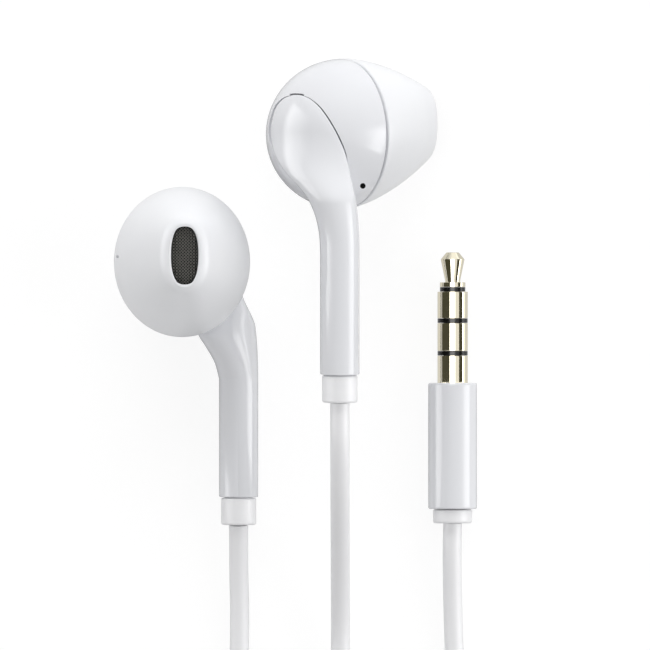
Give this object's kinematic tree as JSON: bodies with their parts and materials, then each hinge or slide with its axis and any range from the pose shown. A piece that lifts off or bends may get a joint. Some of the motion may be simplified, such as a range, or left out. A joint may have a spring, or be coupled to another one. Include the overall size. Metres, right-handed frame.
{
  "type": "wired earphones",
  "caption": "Wired earbuds with oval sound ports, long stems, an in-line remote, a splitter and a gold jack plug, with the spare cable in a neat coil.",
  "frame": {"origin": "on the table below the middle of the two earbuds", "axes": "+X to the right and +Y up in the picture's view, +Z up from the table"},
  "size_m": [0.043, 0.151, 0.0226],
  "materials": {
    "gloss_white_abs": "glossy white ABS",
    "matt_white_abs": "fine satin white ABS",
    "soft_white_tpe": "matt white thermoplastic elastomer",
    "dark_mesh": "fine dark woven mesh",
    "black_plastic": "glossy black",
    "pale_gold": "bright pale gold plating",
    "bright_steel": "pressed steel",
    "magnet_nickel": "nickel plated",
    "copper_wire": "enamelled copper wire",
    "clear_film": "thin polyester film",
    "green_board": "green solder mask",
    "black_foam": "closed-cell foam"
  },
  "bodies": {
    "earphones": {"left_front_shell": "matt_white_abs", "left_back_shell": "gloss_white_abs", "left_stem": "gloss_white_abs", "left_strain_relief": "soft_white_tpe", "left_nozzle_mesh": "dark_mesh", "left_cable_end": "soft_white_tpe", "left_driver_frame": "bright_steel", "left_yoke": "bright_steel", "left_magnet": "magnet_nickel", "left_top_plate": "bright_steel", "left_driver_cover": "bright_steel", "left_gasket": "black_foam", "left_terminal_board": "green_board", "right_front_shell": "matt_white_abs", "right_back_shell": "gloss_white_abs", "right_stem": "gloss_white_abs", "right_strain_relief": "soft_white_tpe", "right_nozzle_mesh": "dark_mesh", "right_cable_end": "soft_white_tpe", "right_driver_frame": "bright_steel", "right_yoke": "bright_steel", "right_magnet": "magnet_nickel", "right_top_plate": "bright_steel", "right_driver_cover": "bright_steel", "right_gasket": "black_foam", "right_terminal_board": "green_board", "plug_insulator": "black_plastic", "plug_tip": "pale_gold", "plug_ring_1": "pale_gold", "plug_ring_2": "pale_gold", "plug_sleeve": "pale_gold", "plug_housing": "gloss_white_abs", "plug_inner_mould": "soft_white_tpe", "plug_collar": "soft_white_tpe", "remote_rear_cover": "gloss_white_abs", "remote_front_cover": "gloss_white_abs", "remote_board": "green_board", "remote_switches": "bright_steel", "remote_microphone": "magnet_nickel", "remote_relief_upper": "soft_white_tpe", "remote_relief_lower": "soft_white_tpe", "splitter": "soft_white_tpe", "cable_tie": "black_plastic", "left_cable": "soft_white_tpe", "left_cable_tail": "soft_white_tpe", "right_cable_upper": "soft_white_tpe", "right_cable_lower": "soft_white_tpe", "right_cable_tail": "soft_white_tpe", "main_cable_lead": "soft_white_tpe", "main_cable": "soft_white_tpe", "left_coil": "soft_white_tpe", "right_coil": "soft_white_tpe", "main_coil": "soft_white_tpe"},
    "key_up": {"remote_key_up": "soft_white_tpe"},
    "key_centre": {"remote_key_centre": "soft_white_tpe"},
    "key_down": {"remote_key_down": "soft_white_tpe"},
    "left_cone": {"left_diaphragm": "clear_film", "left_voice_coil": "copper_wire"},
    "right_cone": {"right_diaphragm": "clear_film", "right_voice_coil": "copper_wire"}
  },
  "joints": [
    {"name": "key_up_press", "type": "slide", "parent": "earphones", "child": "key_up", "axis": [0, 0, -1], "range_m": [0, 0.00025], "stiffness_N_per_m": 200},
    {"name": "key_centre_press", "type": "slide", "parent": "earphones", "child": "key_centre", "axis": [0, 0, -1], "range_m": [0, 0.00025], "stiffness_N_per_m": 200},
    {"name": "key_down_press", "type": "slide", "parent": "earphones", "child": "key_down", "axis": [0, 0, -1], "range_m": [0, 0.00025], "stiffness_N_per_m": 200},
    {"name": "right_cone_travel", "type": "slide", "parent": "earphones", "child": "right_cone", "axis": [0.766, 0.0336, -0.6419], "range_m": [-0.00015, 0.00015], "stiffness_N_per_m": 200},
    {"name": "left_cone_travel", "type": "slide", "parent": "earphones", "child": "left_cone", "axis": [0.0349, -0.0174, 0.9992], "range_m": [-0.00015, 0.00015], "stiffness_N_per_m": 200}
  ]
}
